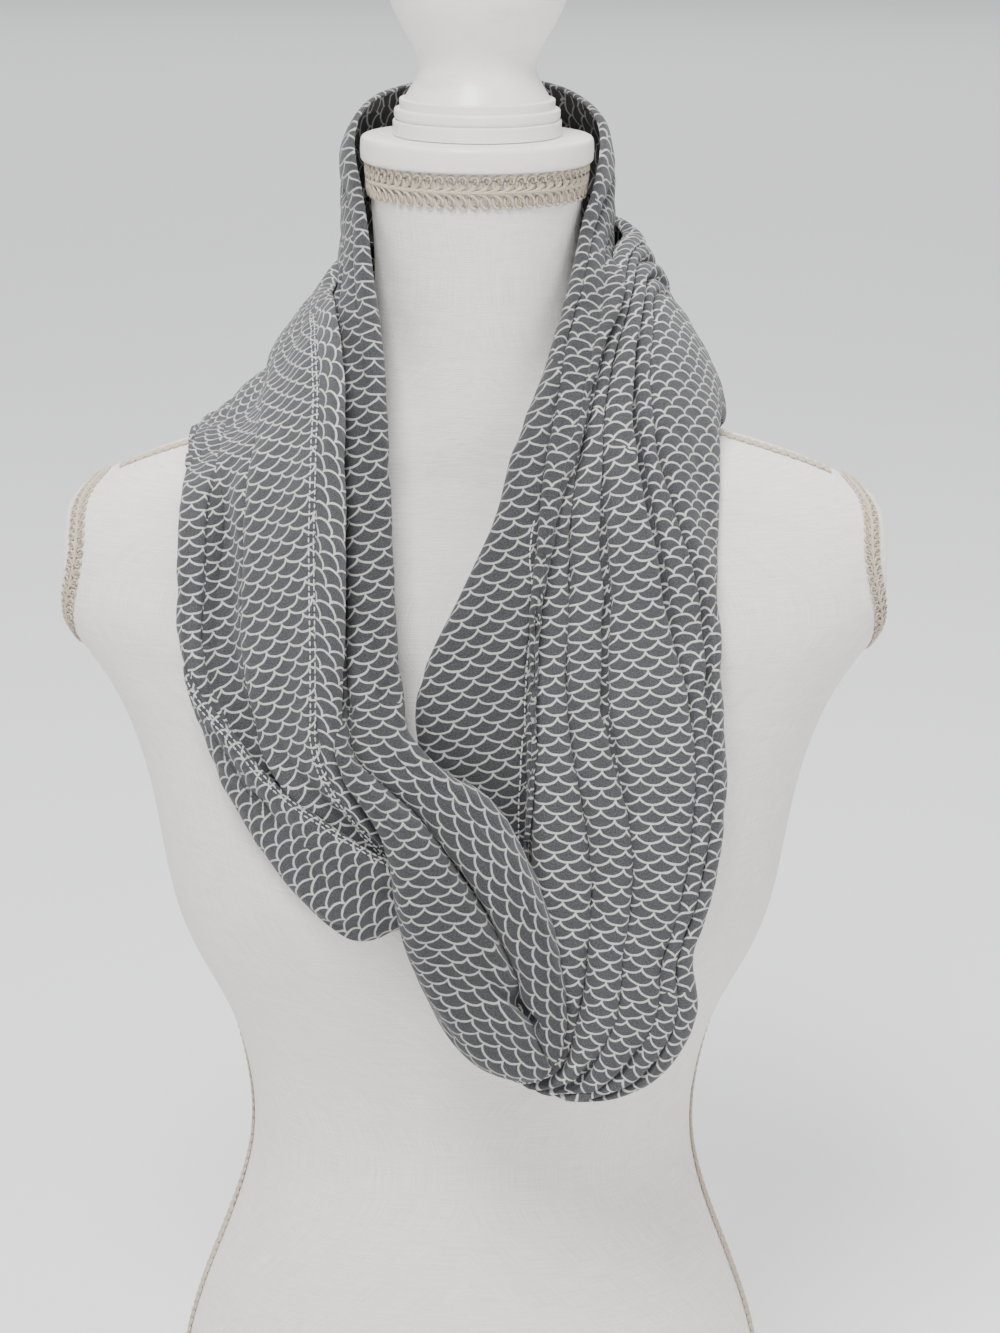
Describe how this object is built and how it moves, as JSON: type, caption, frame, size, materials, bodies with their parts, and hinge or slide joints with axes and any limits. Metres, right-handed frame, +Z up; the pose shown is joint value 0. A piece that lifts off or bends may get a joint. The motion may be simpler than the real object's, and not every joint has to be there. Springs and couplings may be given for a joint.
{
  "type": "infinity scarf on a dress form",
  "caption": "Loop scarf of scale-print cloth wound twice round the neck of a limbless covered dress form with a turned neck finial and braid trim.",
  "frame": {"origin": "middle of the dress form's flat base, on its upright axis", "axes": "+Z up, -Y to the front of the form, -X towards the left of the picture"},
  "size_m": [0.3852, 0.2706, 0.7853],
  "materials": {
    "scarf_cloth": "matt woven cloth, grey with an off-white scallop print",
    "form_linen": "off-white linen, stretched smooth",
    "form_braid": "cream looped braid",
    "painted_wood": "turned wood, white paint with a soft gloss"
  },
  "bodies": {
    "root": {"torso": "form_linen", "neck_cap": "painted_wood", "finial": "painted_wood", "neck_braid": "form_braid", "shoulder_braid_left": "form_braid", "shoulder_braid_right": "form_braid", "armhole_braid_left": "form_braid", "armhole_braid_right": "form_braid", "side_braid_left": "form_braid", "side_braid_right": "form_braid", "right_neck_fall": "scarf_cloth", "nape_band": "scarf_cloth", "left_neck_fall": "scarf_cloth", "front_crossing": "scarf_cloth", "left_outer_fall": "scarf_cloth", "back_drape": "scarf_cloth", "right_outer_fall": "scarf_cloth", "bottom_turn": "scarf_cloth", "left_swag": "scarf_cloth"}
  },
  "joints": []
}
